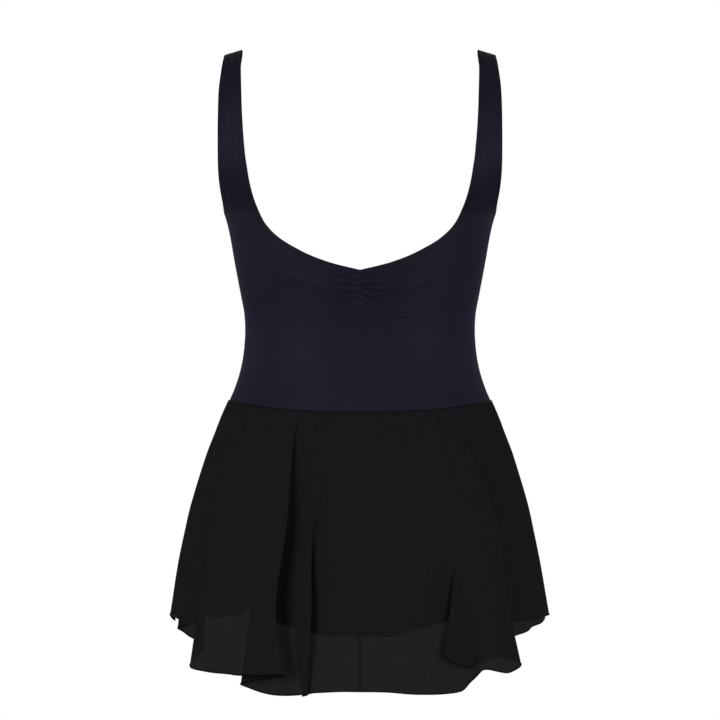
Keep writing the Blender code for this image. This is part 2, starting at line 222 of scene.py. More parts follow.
# Edges of the straps and of the leg openings, as the distance from the centre line
Edge = namedtuple("Edge", "drop out")
BACK_NECK = [
    Edge(0, 139.0), Edge(28, 138.0), Edge(48, 137.0), Edge(87, 135.0), Edge(124, 132.0),
    Edge(142, 129.5), Edge(160, 126.5), Edge(179, 121.5), Edge(198, 113.5), Edge(207, 108.0),
    Edge(216, 100.0), Edge(225, 89.0), Edge(234, 74.0), Edge(243, 56.0), Edge(252, 31.0),
    Edge(BACK_NECK_DROP, 0.0),
]
BACK_ARMHOLE = [
    Edge(0, 158.5), Edge(28, 161.0), Edge(48, 162.5), Edge(87, 163.0), Edge(124, 163.0),
    Edge(150, 162.5), Edge(168, 160.8), Edge(180, 159.2), Edge(186, 159.0), Edge(UNDERARM, 159.6),
]
FRONT_NECK = [
    Edge(0, 139.0), Edge(15, 143.0), Edge(35, 144.5), Edge(72, 144.0), Edge(110, 141.0),
    Edge(128, 138.5), Edge(148, 135.5), Edge(169, 130.0), Edge(189, 121.0), Edge(199, 115.5),
    Edge(208, 107.5), Edge(217, 96.0), Edge(226, 81.0), Edge(236, 61.0), Edge(246, 33.0),
    Edge(FRONT_NECK_DROP, 0.0),
]
FRONT_ARMHOLE = [
    Edge(0, 158.5), Edge(40, 162.5), Edge(80, 163.5), Edge(120, 161.5), Edge(150, 158.5),
    Edge(170, 157.5), Edge(180, 158.2), Edge(186, 159.0), Edge(UNDERARM, 159.6),
]
LEG_BACK = [
    Edge(LEG_TOP, 172.5), Edge(611, 168.5), Edge(629, 148.0), Edge(643, 127.0),
    Edge(656, 111.0), Edge(666, 93.0), Edge(673, 73.0), Edge(680, 51.0), Edge(CROTCH_DROP, 36.0),
]
LEG_FRONT = [
    Edge(LEG_TOP, 172.5), Edge(609, 160.0), Edge(619, 136.0), Edge(633, 106.0),
    Edge(650, 76.0), Edge(666, 54.0), Edge(680, 40.0), Edge(CROTCH_DROP, 36.0),
]

# Grid lines of a half panel: the drop at its inner edge and at its outer edge, and the
# number of steps to it from the line before
Line = namedtuple("Line", "inner outer steps")
BACK_LINES = [
    Line(318.0, 276.0, 26), Line(301.0, 262.0, 16), Line(BACK_NECK_DROP, 236.0, 44),
    Line(216.0, 207.0, 34), Line(188.0, UNDERARM, 12), Line(142.0, 152.0, 14),
    Line(STRAP_START, STRAP_START, 6),
]
FRONT_LINES = [
    Line(300.0, 268.0, 34), Line(FRONT_NECK_DROP, 232.0, 24), Line(214.0, 207.0, 32),
    Line(189.0, UNDERARM, 12), Line(146.0, 154.0, 14), Line(STRAP_START, STRAP_START, 6),
]
BRIEF_BACK_LINES = [Line(SEAT_DROP, LEG_TOP, 40)]
BRIEF_FRONT_LINES = [Line(GROIN_DROP, LEG_TOP, 36)]
STRAP_STEPS = 40
CROTCH_STEPS = 34
LEAST_STEP = 1.0
PANEL_COLUMNS = 52
CENTRE_COLUMNS = 26
CENTRE_SHARE = 0.42
CENTRE_CROWDING = 1.35
EDGE_COLUMNS = 4
EDGE_START = 0.99
INNER_BESIDE = 3

# Small creases of the gather at the centre back: where each trough starts and ends, across
# from the centre and down, its half width and its depth
Crease = namedtuple("Crease", "x0 drop0 x1 drop1 width depth")
CREASES = [
    Crease(-5.0, 271.5, -23.0, 267.5, 1.5, 2.5),
    Crease(-5.0, 279.0, -23.0, 275.5, 1.5, 2.7),
    Crease(-5.0, 285.4, -15.0, 285.6, 1.4, 2.2),
    Crease(-2.0, 290.0, -11.0, 298.5, 1.5, 2.5),
    Crease(2.0, 264.0, 11.0, 266.0, 1.4, 2.0),
    Crease(4.0, 270.0, 19.0, 269.5, 1.4, 2.4),
    Crease(2.0, 276.5, 21.0, 276.0, 1.5, 2.9),
    Crease(4.0, 281.0, 27.0, 285.8, 1.6, 3.1),
    Crease(1.0, 287.5, 17.0, 296.0, 1.5, 2.7),
    Crease(0.5, 293.0, 9.0, 300.5, 1.4, 2.2),
    Crease(0.0, 262.0, 0.0, 303.0, 1.7, 2.9),
]

# The short stitched line under the gather, in a darker thread that also paints the shade of its
# groove
GATHER_LINE = [
    (-84.0, 307.0), (-56.0, 311.5), (-24.0, 311.8), (-9.0, 309.5), (-2.5, 306.5),
    (5.0, 310.5), (25.0, 313.4), (48.0, 313.0), (70.0, 310.4), (82.0, 307.2),
]

# Long soft creases of the worn knit: like a crease, but a soft hollow or ridge
SOFT_CREASES = [
    Crease(-96.0, 398.0, -40.0, 371.0, 9.0, 0.9),
    Crease(118.0, 392.0, 62.0, 366.0, 10.0, 0.8),
    Crease(-122.0, 330.0, -64.0, 318.0, 8.0, 0.8),
    Crease(124.0, 338.0, 70.0, 331.0, 9.0, 0.9),
    Crease(-30.0, 282.0, -92.0, 262.0, 7.0, -0.9),
    Crease(32.0, 284.0, 96.0, 266.0, 7.0, -0.9),
    Crease(-14.0, 318.0, -38.0, 352.0, 8.0, 0.6),
    Crease(16.0, 320.0, 44.0, 350.0, 8.0, 0.6),
]

# The skirt's bell without its folds, by the share of the way from its seam to its hem
Bell = namedtuple("Bell", "fall side back front")
SKIRT = [
    Bell(0.00, 155.5, 103.0, 110.5),
    Bell(0.07, 163.4, 110.5, 115.5),
    Bell(0.15, 171.3, 118.5, 120.5),
    Bell(0.26, 182.0, 128.0, 127.0),
    Bell(0.48, 198.8, 146.0, 139.0),
    Bell(0.63, 207.0, 157.0, 147.5),
    Bell(0.78, 214.2, 167.0, 155.5),
    Bell(1.00, 222.5, 180.0, 166.0),
]

# Fold lines of the skirt, from the centre front round the left side, the back and the right
# side to the centre front: the angle from the centre back at the seam, the middle and the
# hem, how far the cloth stands out at the middle and the hem, and the drop of the hem. Where
# the angle runs back, the cloth laps over itself. Some also swing aside or outwards at the low
# level, from the straight run between the middle and the hem
Fold = namedtuple(
    "Fold", "seam middle middle_out hem hem_out drop swing swing_out", defaults=(0.0, 0.0)
)
FOLDS = [
    Fold(-180.0, -180.0, 2.0, -180.0, 5.0, 669.0),
    Fold(-175.0, -175.0, 2.0, -175.0, 5.0, 669.0),
    Fold(-167.0, -165.5, -3.0, -164.5, -7.0, 672.0),
    Fold(-157.0, -154.0, 4.0, -152.0, 9.0, 666.0),
    Fold(-149.0, -147.0, 5.0, -147.5, 11.0, 664.5),
    Fold(-140.0, -137.5, -2.0, -139.0, -5.0, 671.0),
    Fold(-129.0, -127.0, -4.0, -126.5, -9.0, 675.0),
    Fold(-118.0, -117.0, 4.0, -117.0, 8.0, 667.0),
    Fold(-110.0, -107.0, 5.0, -105.5, 9.0, 667.0),
    Fold(-101.0, -98.5, -1.0, -97.0, -2.0, 671.0),
    Fold(-90.0, -90.0, 0.0, -89.0, 3.0, 661.0),
    Fold(-79.0, -73.0, -3.0, -60.0, -6.0, 664.0),
    Fold(-73.0, -74.0, 4.0, -67.0, 5.0, 671.0),
    Fold(-67.0, -61.0, -2.0, -54.0, -3.0, 687.0),
    Fold(-58.0, -55.0, 5.0, -57.5, 8.0, 709.0),
    Fold(-46.0, -40.0, 6.0, -38.0, 11.0, 714.5),
    Fold(-26.0, -23.5, 7.0, -20.3, 12.0, 712.0, -3.3),
    Fold(-22.5, -34.5, -4.0, -38.0, -5.0, 727.0),
    Fold(-18.5, -24.5, -8.0, -27.5, -11.0, 737.0),
    Fold(-15.0, -16.0, -4.0, -15.8, -7.0, 735.0, 1.1, 6.0),
    Fold(-13.3, -15.3, -8.0, -18.5, -19.0, 738.5, -4.5, -1.0),
    Fold(-11.5, -12.3, -5.0, -14.0, -10.0, 733.0, 0.5, -2.0),
    Fold(-4.0, -4.0, -2.0, -5.0, -8.0, 731.0),
    Fold(0.0, 0.0, -2.0, 0.0, -8.0, 731.0),
    Fold(4.0, 4.0, -2.0, 5.0, -8.0, 731.0),
    Fold(9.0, 10.5, -1.0, 12.0, -7.0, 733.0),
    Fold(17.0, 20.0, 0.0, 22.5, -10.0, 736.0),
    Fold(24.0, 28.0, 0.0, 33.5, -16.0, 734.0),
    Fold(28.0, 33.5, 3.0, 35.5, -2.0, 720.0),
    Fold(31.0, 38.0, 5.0, 37.0, 10.0, 709.0),
    Fold(34.5, 44.5, 7.0, 45.0, 13.0, 714.0),
    Fold(38.5, 49.8, 7.0, 51.0, 12.0, 705.5, -1.8),
    Fold(43.0, 45.5, 2.0, 43.0, 2.0, 697.0),
    Fold(46.5, 40.0, -2.5, 34.0, -4.0, 707.0),
    Fold(50.0, 36.0, -5.0, 26.0, -8.0, 692.0),
    Fold(56.0, 45.0, -8.0, 38.0, -14.0, 681.0),
    Fold(66.0, 60.0, -4.0, 54.0, -10.0, 678.0),
    Fold(77.0, 73.0, -1.0, 68.0, -5.0, 669.0),
    Fold(90.0, 90.0, -1.0, 88.0, -3.0, 663.0),
    Fold(99.0, 99.0, 2.0, 99.5, 4.0, 664.0),
    Fold(108.0, 109.0, 4.0, 111.0, 8.0, 673.0),
    Fold(117.0, 120.0, 0.0, 121.5, -2.0, 679.0),
    Fold(127.0, 130.0, -4.0, 131.0, -10.0, 674.0),
    Fold(137.0, 139.5, 4.0, 138.5, 8.0, 665.0),
    Fold(147.0, 148.5, 5.0, 150.5, 10.0, 665.0),
    Fold(157.5, 158.0, -2.0, 159.5, -6.0, 671.0),
    Fold(167.0, 167.0, 0.0, 167.5, -1.0, 671.0),
    Fold(175.0, 175.0, 2.0, 175.0, 5.0, 669.0),
    Fold(180.0, 180.0, 2.0, 180.0, 5.0, 669.0),
]

# Small gathers of the skirt just under its seam: angle, half width in degrees, depth, reach
Tuck = namedtuple("Tuck", "angle width depth reach")
TUCKS = [
    Tuck(-61.0, 1.3, 3.0, 0.15), Tuck(-53.5, 1.3, 2.6, 0.20), Tuck(-46.0, 1.6, 2.6, 0.12),
    Tuck(-38.0, 1.4, 3.0, 0.18), Tuck(-16.5, 1.1, 3.2, 0.15), Tuck(-11.5, 1.1, 3.2, 0.14),
    Tuck(8.0, 1.5, 2.2, 0.11), Tuck(15.0, 1.2, 2.2, 0.10), Tuck(22.0, 1.3, 2.8, 0.15),
    Tuck(31.0, 1.6, 4.4, 0.26), Tuck(40.5, 1.3, 2.8, 0.18), Tuck(52.0, 1.6, 2.6, 0.15),
    Tuck(70.0, 1.5, 2.4, 0.14), Tuck(101.0, 1.6, 2.2, 0.15), Tuck(118.0, 1.4, 2.6, 0.14),
    Tuck(139.0, 1.7, 2.4, 0.17), Tuck(163.0, 1.4, 2.5, 0.12), Tuck(-104.0, 1.5, 2.5, 0.15),
    Tuck(-126.0, 1.6, 2.2, 0.14), Tuck(-147.0, 1.3, 2.6, 0.17), Tuck(-169.0, 1.5, 2.2, 0.12),
]


def columns_of(table):
    """Turns a table's rows into one list of values for each named column."""
    return {name: [getattr(row, name) for row in table] for name in table[0]._fields}


BODY_COLUMNS = columns_of(BODY)
SKIRT_COLUMNS = columns_of(SKIRT)


def slope(knots, values, i):
    """Slope of the smooth curve at one of its knots."""
    low, high = max(i - 1, 0), min(i + 1, len(knots) - 1)
    return (values[high] - values[low]) / (knots[high] - knots[low])


def along(knots, values, at):
    """Value at a place on a smooth curve through the values at the knots."""
    at = min(max(at, knots[0]), knots[-1])
    i = min(bisect_right(knots, at), len(knots) - 1) - 1
    span = knots[i + 1] - knots[i]
    t = (at - knots[i]) / span
    start, end = slope(knots, values, i) * span, slope(knots, values, i + 1) * span
    return (
        (2 * t**3 - 3 * t**2 + 1) * values[i]
        + (t**3 - 2 * t**2 + t) * start
        + (3 * t**2 - 2 * t**3) * values[i + 1]
        + (t**3 - t**2) * end
    )


def body(name, drop):
    """A measure of the figure's section at a drop."""
    return along(BODY_COLUMNS["drop"], BODY_COLUMNS[name], drop)


def bell(name, fall):
    """A measure of the skirt's bell at a share of the way to its hem."""
    return along(SKIRT_COLUMNS["fall"], SKIRT_COLUMNS[name], fall)


def rounding(drop, side):
    """Share of the full depth: it shrinks to nothing over the shoulders and at the crotch."""
    shoulder = SHOULDER_DROP_BACK if side == BACK else SHOULDER_DROP_FRONT
    hip = SEAT_DROP if side == BACK else GROIN_DROP
    if drop < shoulder:
        return sqrt(max(0.0, 1 - (1 - drop / shoulder) ** 2))
    if drop > hip:
        return sqrt(max(0.0, 1 - ((drop - hip) / (CROTCH_DROP - hip)) ** 2))
    return 1.0


def crease_height(creases, x, drop):
    """Height of the cloth at a place: troughs with soft banks beside them."""
    height = 0.0
    for c in creases:
        dx, dy = c.x1 - c.x0, c.drop1 - c.drop0
        length = hypot(dx, dy)
        run = ((x - c.x0) * dx + (drop - c.drop0) * dy) / length**2
        across = ((x - c.x0) * dy - (drop - c.drop0) * dx) / length / c.width
        if abs(across) > CREASE_REACH or not -CREASE_OVERRUN < run < 1 + CREASE_OVERRUN:
            continue
        taper = max(0.0, 1 - (abs(run - CREASE_DEEPEST) / CREASE_TAPER) ** 2)
        trough = CREASE_TROUGH * exp(-(across**2))
        bank = CREASE_BANK * exp(-((across / CREASE_SPREAD) ** 2))
        height -= c.depth * taper * (trough - bank)
    return height


def body_point(turn, drop, side, way):
    """Point of the cloth, a turn from the centre line towards the seam on the way's side."""
    power = 2 / body("squareness", drop)
    x = body("half_width", drop) * max(0.0, sin(turn)) ** power
    depth = body("back" if side == BACK else "front", drop) * rounding(drop, side)
    y = depth * max(0.0, cos(turn)) ** power
    if drop > STRAP_START:
        y += crease_height(SOFT_CREASES, -side * way * x, drop)
        if side == BACK:
            y += crease_height(CREASES, way * x, drop)
    shoulder = max(0.0, 1 - drop / SHOULDER_DROP_BACK)
    z = -drop - SHOULDER_SLOPE * (x - STRAP_MIDDLE) * shoulder
    return way * x, side * (y + SEAM_SHOWS), z


def turn_of(x, drop):
    """Turn at which the section at this drop is x from the centre line."""
    share = min(1.0, max(0.0, x / body("half_width", drop)))
    return asin(share ** (body("squareness", drop) / 2))


def edge_turn(edge, drop):
    """Turn at which an edge of the cloth lies at this drop."""
    knots = [row.drop for row in edge]
    return turn_of(along(knots, [row.out for row in edge], drop), drop)


def neck_turn(edge, neck_drop):
    """Where a bodice half starts: at the centre line, and above its lowest point at the neck."""
    return lambda drop: 0.0 if drop >= neck_drop else edge_turn(edge, drop)


def armhole_turn(edge):
    """Where a bodice half ends: at the side seam, and above the underarm at the armhole."""
    return lambda drop: pi / 2 if drop >= UNDERARM else edge_turn(edge, drop)


def leg_turn(edge):
    """Where a brief half ends: at the side seam, and below it at the leg opening."""
    return lambda drop: pi / 2 if drop <= LEG_TOP else edge_turn(edge, drop)


def centre_turn(drop):
    """Where a brief half starts: at the centre line all the way."""
    return 0.0


def upto(drop):
    """Tells whether an edge at a given height is open, above this drop."""
    return lambda at: at <= drop + NEAR


def beyond(drop):
    """Tells whether an edge at a given height is open, below this drop."""
    return lambda at: at >= drop - NEAR


def closed(at):
    """An edge that is never open: the two halves meet along it."""
    return False


def waist_seam(turn, side):
    """Drop of the waist seam, which dips towards the centre line."""
    dip = WAIST_DIP_BACK if side == BACK else WAIST_DIP_FRONT
    return WAIST_SEAM + dip * cos(turn) ** 2


def steps_to(lines, start):
    """Inner and outer drops of every grid line, from the start line on."""
    grid = [start]
    for line in lines:
        inner, outer = grid[-1]
        for k in range(1, line.steps + 1):
            share = k / line.steps
            grid.append((
                inner + (line.inner - inner) * share, outer + (line.outer - outer) * share
            ))
    return grid


def bodice_grid(lines, side):
    """Grid lines of a bodice half, from the waist seam over the shoulder's crest."""
    grid = steps_to(lines, (waist_seam(0, side), waist_seam(pi / 2, side)))
    shoulder = SHOULDER_DROP_BACK if side == BACK else SHOULDER_DROP_FRONT
    last = pi / 2 if STRAP_START >= shoulder else asin(sqrt(1 - (1 - STRAP_START / shoulder) ** 2))
    for k in range(STRAP_STEPS + 1):
        drop = shoulder * (1 - cos(last * (1 - k / STRAP_STEPS)))
        if drop < STRAP_START - LEAST_STEP:
            grid.append((drop, drop))
    return grid


def brief_grid(lines, side):
    """Grid lines of a brief half, from the waist seam under the crotch."""
    grid = steps_to(lines, (waist_seam(0, side), waist_seam(pi / 2, side)))
    hip = SEAT_DROP if side == BACK else GROIN_DROP
    for k in range(1, CROTCH_STEPS + 1):
        share = k / CROTCH_STEPS
        inner = hip + (CROTCH_DROP - hip) * sin(share * pi / 2)
        outer = LEG_TOP + (CROTCH_DROP - LEG_TOP) * (1 - cos(share * pi)) / 2
        grid.append((inner, outer))
    return grid


def panel_shares():
    """Places of a half panel's columns, closer together at the centre and at the seam."""
    shares = [
        CENTRE_SHARE * (k / CENTRE_COLUMNS) ** CENTRE_CROWDING for k in range(CENTRE_COLUMNS + 1)
    ]
    rest = PANEL_COLUMNS - CENTRE_COLUMNS
    for start, end, count in ((CENTRE_SHARE, EDGE_START, rest), (EDGE_START, 1.0, EDGE_COLUMNS)):
        shares += [start + (end - start) * k / count for k in range(1, count + 1)]
    return shares


def distance_between(a, b):
    return hypot(*(p - q for p, q in zip(a, b)))


def running(points):
    """How far along a line of points each one lies."""
    run = [0.0]
    for a, b in zip(points, points[1:]):
        run.append(run[-1] + distance_between(a, b))
    return run


class Panel:
    """A cut piece of the knit: both halves' points, its edges and its finished object."""

    def __init__(self, name, replaced, grid, side, inner_turn, outer_turn, inner_open, outer_open):
        self.side = side
        self.halves = {}
        for way in (-1, 1):
            self.halves[way] = [self.row(line, inner_turn, outer_turn, way) for line in grid]
        self.seam_dips(grid, outer_open)
        self.inner = [k for k, line in enumerate(grid) if inner_open(line[0])]
        self.outer = [k for k, line in enumerate(grid) if outer_open(line[1])]
        self.object = self.make(name)
        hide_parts(replaced)
        mesh = self.object.data
        self.tree = BVHTree.FromPolygons(
            [v.co for v in mesh.vertices], [tuple(p.vertices) for p in mesh.polygons]
        )

    def row(self, line, inner_turn, outer_turn, way):
        """Points of one grid line of a half, from its inner edge to its outer one."""
        inner, outer = line
        start, end = inner_turn(inner), outer_turn(outer)
        points = []
        for share in PANEL_SHARES:
            drop = inner + (outer - inner) * sin(share * pi / 2) ** 2
            points.append(body_point(start + (end - start) * share, drop, self.side, way))
        return points

    def seam_dips(self, grid, outer_open):
        """Draws the cloth in along the side seams, as a sewn seam does."""
        for rows in self.halves.values():
            for row, line in zip(rows, grid):
                if outer_open(line[1]):
                    continue
                end = row[-1]
                for k, (x, y, z) in enumerate(row):
                    near = hypot(x - end[0], y - end[1], z - end[2]) / SEAM_DIP_WIDTH
                    fade = min(1.0, max(0.0, -z - UNDERARM) / SEAM_DIP_FADE)
                    dip = SEAM_DIP * fade * exp(-(near**2))
                    row[k] = (x * (1 - dip / max(abs(x), SEAM_DIP_GUARD)), y, z)

    def make(self, name):
        """The panel's mesh, with its wall."""
        verts, faces, places = [], [], []
        for way, rows in self.halves.items():
            base, width = len(verts), len(rows[0])
            for row in rows:
                verts += row
                places += [(way * r * MM, p[2] * MM) for r, p in zip(running(row), row)]
            upward = rows[0][0][2] < rows[-1][0][2]
            keep = ((way == 1) == (self.side == BACK)) == upward
            for r in range(len(rows) - 1):
                for c in range(width - 1):
                    a = base + r * width + c
                    quad = (a, a + 1, a + 1 + width, a + width)
                    faces.append(quad if keep else quad[::-1])
        made = mesh_object(name, verts, faces, places, weld=True)
        finish_cloth(made, KNIT)
        add_wall(made, KNIT_THICK)
        return made

    def edge(self, which, way):
        """Points of one edge of one half, and the points beside them inside the cloth."""
        rows = self.halves[way]
        inner = which == "inner"
        index, beside = (0, INNER_BESIDE) if inner else (-1, -2 - EDGE_COLUMNS)
        chosen = self.inner if inner else self.outer
        return [rows[k][index] for k in chosen], [rows[k][beside] for k in chosen]


def mesh_object(name, verts, faces, places=None, weld=False):
    """A mesh object from points in millimetres, with the cloth's own places as its UV map."""
    mesh = bpy.data.meshes.new(name)
    mesh.from_pydata([[c * MM for c in v] for v in verts], [], faces)
    if places:
        layer = mesh.uv_layers.new(name="cloth")
        for loop in mesh.loops:
            layer.data[loop.index].uv = places[loop.vertex_index]
    if weld:
        bm = bmesh.new()
        bm.from_mesh(mesh)
        bmesh.ops.remove_doubles(bm, verts=bm.verts, dist=WELD_DISTANCE)
        bm.to_mesh(mesh)
        bm.free()
    mesh.shade_smooth()
    made = bpy.data.objects.new(name, mesh)
    bpy.context.scene.collection.objects.link(made)
    return made


def add_wall(made, thickness):
    """Gives a sheet its thickness, half to each side."""
    wall = made.modifiers.new("wall", "SOLIDIFY")
    wall.thickness = thickness * MM
    wall.offset = 0


def finish_cloth(made, finish):
    """Gives a piece its material and slot, and ties it to the dress's one body."""
    made.data.materials.append(finish)
    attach(made, BODY_NAME)


def node(tree, kind, **inputs):
    """A new node with values on its sockets."""
    made = tree.nodes.new(kind)
    for name, value in inputs.items():
        made.inputs[name.replace("_", " ")].default_value = value
    return made


def plain_material(name, roughness, specular):
    """A material with one plain shader, and that shader's node tree."""
    made = bpy.data.materials.new(name)
    made.use_nodes = True
    shader = made.node_tree.nodes["Principled BSDF"]
    shader.inputs["Roughness"].default_value = roughness
    shader.inputs["Specular IOR Level"].default_value = specular
    return made, made.node_tree, shader


def object_place(tree):
    return tree.nodes.new("ShaderNodeTexCoord").outputs["Object"]


def cloth_place(tree):
    """Places along and across the cloth itself."""
    place = tree.nodes.new("ShaderNodeUVMap")
    place.uv_map = "cloth"
    return place.outputs["UV"]


def noise(tree, place, **inputs):
    made = node(tree, "ShaderNodeTexNoise", **inputs)
    tree.links.new(place, made.inputs["Vector"])
    return made.outputs["Fac"]


def yarns(tree, place, direction, scale, distortion):
    """Fine ridges side by side in one direction of the cloth."""
    made = node(tree, "ShaderNodeTexWave", Scale=scale, Distortion=distortion, Detail=1.0)
    made.bands_direction = direction
    tree.links.new(place, made.inputs["Vector"])
    return made.outputs["Fac"]


def reckoned(tree, operation, first, second):
    """Sum, product or the like of two sockets, or of a socket and a number."""
    made = tree.nodes.new("ShaderNodeMath")
    made.operation = operation
    tree.links.new(first, made.inputs[0])
    if isinstance(second, float):
        made.inputs[1].default_value = second
    else:
        tree.links.new(second, made.inputs[1])
    return made.outputs[0]


def mixed(tree, low, high, factor):
    """A colour between two, by a texture's value."""
    mix = tree.nodes.new("ShaderNodeMix")
    mix.data_type = "RGBA"
    mix.inputs["A"].default_value = (*low, 1)
    mix.inputs["B"].default_value = (*high, 1)
    tree.links.new(factor, mix.inputs["Factor"])
    return mix.outputs["Result"]


def relief(tree, height, strength, distance, under=None):
    """Small bumps of a height in metres, on top of others if given."""
    made = node(tree, "ShaderNodeBump", Strength=strength, Distance=distance)
    tree.links.new(height, made.inputs["Height"])
    if under:
        tree.links.new(under, made.inputs["Normal"])
    return made.outputs["Normal"]


def make_knit(name, low, high):
    """Fine stretch knit: small loops in columns, mottled yarn and a soft bloom at the sides."""
    made, tree, shader = plain_material(name, CLOTH_ROUGHNESS, 0.0)
    shader.inputs["Sheen Weight"].default_value = SHEEN
    shader.inputs["Sheen Roughness"].default_value = SHEEN_ROUGHNESS
    shader.inputs["Sheen Tint"].default_value = SHEEN_TINT
    gloss = node(tree, "ShaderNodeBsdfGlossy", Color=(*GLOSS, 1), Roughness=GLOSS_ROUGHNESS)
    both = tree.nodes.new("ShaderNodeAddShader")
    tree.links.new(shader.outputs["BSDF"], both.inputs[0])
    tree.links.new(gloss.outputs["BSDF"], both.inputs[1])
    tree.links.new(both.outputs["Shader"], tree.nodes["Material Output"].inputs["Surface"])
    solid, flat = object_place(tree), cloth_place(tree)
    mottle = noise(tree, solid, Scale=KNIT_MOTTLE, Detail=3.0, Roughness=0.6)
    broad = noise(tree, solid, Scale=KNIT_BROAD, Detail=2.0)
    fine_part = reckoned(tree, "MULTIPLY", mottle, MOTTLE_SHARE)
    broad_part = reckoned(tree, "MULTIPLY", broad, 1 - MOTTLE_SHARE)
    shade = reckoned(tree, "ADD", fine_part, broad_part)
    tree.links.new(mixed(tree, low, high, shade), shader.inputs["Base Color"])
    columns = yarns(tree, flat, "X", KNIT_COLUMNS, KNIT_WAVER)
    courses = yarns(tree, flat, "Y", KNIT_COURSES, KNIT_WAVER)
    loops = relief(tree, reckoned(tree, "MULTIPLY", columns, courses), 0.35, LOOP_HEIGHT)
    uneven = relief(tree, mottle, 0.25, KNIT_UNEVENNESS, loops)
    tree.links.new(uneven, shader.inputs["Normal"])
    tree.links.new(uneven, gloss.inputs["Normal"])
    return made


def make_chiffon(name, low, high):
    """Sheer woven chiffon: crossed yarns, faint streaks along the grain, partly see-through."""
    made, tree, shader = plain_material(name, CLOTH_ROUGHNESS, 0.0)
    flat = cloth_place(tree)
    stretch = node(tree, "ShaderNodeMapping", Scale=STREAK_STRETCH)
    tree.links.new(flat, stretch.inputs["Vector"])
    streaks = noise(tree, stretch.outputs["Vector"], Scale=STREAKS, Detail=3.0, Roughness=0.6)
    tree.links.new(mixed(tree, low, high, streaks), shader.inputs["Base Color"])
    warp = yarns(tree, flat, "X", CHIFFON_YARNS, CHIFFON_WAVER)
    weft = yarns(tree, flat, "Y", CHIFFON_YARNS, CHIFFON_WAVER)
    weave = reckoned(tree, "MAXIMUM", warp, weft)
    cover = node(tree, "ShaderNodeMapRange", To_Min=LEAST_COVER, To_Max=MOST_COVER)
    tree.links.new(weave, cover.inputs["Value"])
    tree.links.new(cover.outputs["Result"], shader.inputs["Alpha"])
    tree.links.new(relief(tree, weave, 0.2, YARN_HEIGHT), shader.inputs["Normal"])
    return made


def make_thread(name, colour):
    """Spun thread, twisted along its length."""
    made, tree, shader = plain_material(name, THREAD_ROUGHNESS, THREAD_SPECULAR)
    twist = noise(tree, object_place(tree), Scale=THREAD_TWIST, Detail=2.0)
    darker = [c * THREAD_SHADE for c in colour]
    tree.links.new(mixed(tree, darker, colour, twist), shader.inputs["Base Color"])
    tree.links.new(relief(tree, twist, 0.3, YARN_HEIGHT), shader.inputs["Normal"])
    return made


def resampled(points, step):
    """Points a step apart along a line of points."""
    run = running(points)
    count = max(2, round(run[-1] / step))
    made, k = [], 0
    for s in range(count + 1):
        at = run[-1] * s / count
        while k < len(run) - 2 and run[k + 1] < at:
            k += 1
        share = (at - run[k]) / max(run[k + 1] - run[k], 1e-9)
        made.append(tuple(p + (q - p) * share for p, q in zip(points[k], points[k + 1])))
    return made


def tube(points, radius, sides=8, taper=0):
    """Vertices and faces of a closed tube along points; taper thins that many end rings."""
    verts, faces = [], []
    path = [Vector(p) for p in points]
    count = len(path)
    for k, p in enumerate(path):
        tangent = (path[min(k + 1, count - 1)] - path[max(k - 1, 0)]).normalized()
        side = tangent.cross(Vector(TUBE_UP))
        if side.length < TUBE_PARALLEL:
            side = tangent.cross(Vector((1, 0, 0)))
        side.normalize()
        other = tangent.cross(side)
        from_end = min(k, count - 1 - k)
        thin = min(1.0, (from_end + TUBE_TIP) / (taper + TUBE_TIP)) if taper else 1.0
        for s in range(sides):
            angle = 2 * pi * s / sides
            verts.append(tuple(p + (side * cos(angle) + other * sin(angle)) * radius * thin))
    for k in range(count - 1):
        for s in range(sides):
            a, b = k * sides + s, k * sides + (s + 1) % sides
            faces.append((a, b, b + sides, a + sides))
    faces.append(tuple(range(sides))[::-1])
    faces.append(tuple(range((count - 1) * sides, count * sides)))
    return verts, faces


def strip(lines):
    """Vertices and faces of a strip across lines with equally many points."""
    count = min(len(line) for line in lines)
    verts = [point for line in lines for point in line[:count]]
    faces = []
    for s in range(len(lines) - 1):
        for k in range(count - 1):
            a = s * count + k
            faces.append((a, a + 1, a + 1 + count, a + count))
    return verts, faces


def joined(parts):
    """Several lots of vertices and faces as one."""
    verts, faces = [], []
    for more_verts, more_faces in parts:
        base = len(verts)
        verts += more_verts
        faces += [tuple(i + base for i in face) for face in more_faces]
    return verts, faces


def inset_path(panel, which, way, distance, lift):
    """A line on the cloth at a distance inside one of its edges, lifted off its middle."""
    edge, beside = panel.edge(which, way)
    made = []
    for k, (point, inside) in enumerate(zip(edge, beside)):
        p = Vector(point)
        tangent = Vector(edge[min(k + 1, len(edge) - 1)]) - Vector(edge[max(k - 1, 0)])
        tangent.normalize()
        inward = Vector(inside) - p
        inward -= tangent * inward.dot(tangent)
        inward.normalize()
        found, normal, _, _ = panel.tree.find_nearest((p + inward * distance) * MM)
        made.append(tuple(found / MM + normal * lift))
    return made


def both_ways(panel, which, distance, lift, join):
    """The inset lines of both halves; the neck's two meet at the centre in one line."""
    left = inset_path(panel, which, -1, distance, lift)
    right = inset_path(panel, which, 1, distance, lift)
    if join:
        start = 1 if distance_between(left[0], right[0]) < JOIN_GAP else 0
        return [left[::-1] + right[start:]]
    return [left, right]


def turned_band(panel, which, join):
    """The edge's turned-in allowance: a strip on the inner face, from the edge inwards."""
    inside = -(KNIT_THICK + CLEARANCE)
    stations = [
        (0.0, inside * BAND_RIM), (BAND_TURN, inside), (TURNED_WIDTH - BAND_END, inside),
        (TURNED_WIDTH, -KNIT_THICK * BAND_SUNK),
    ]
    lines = [both_ways(panel, which, distance, lift, join) for distance, lift in stations]
    return [strip(group) for group in zip(*lines)]


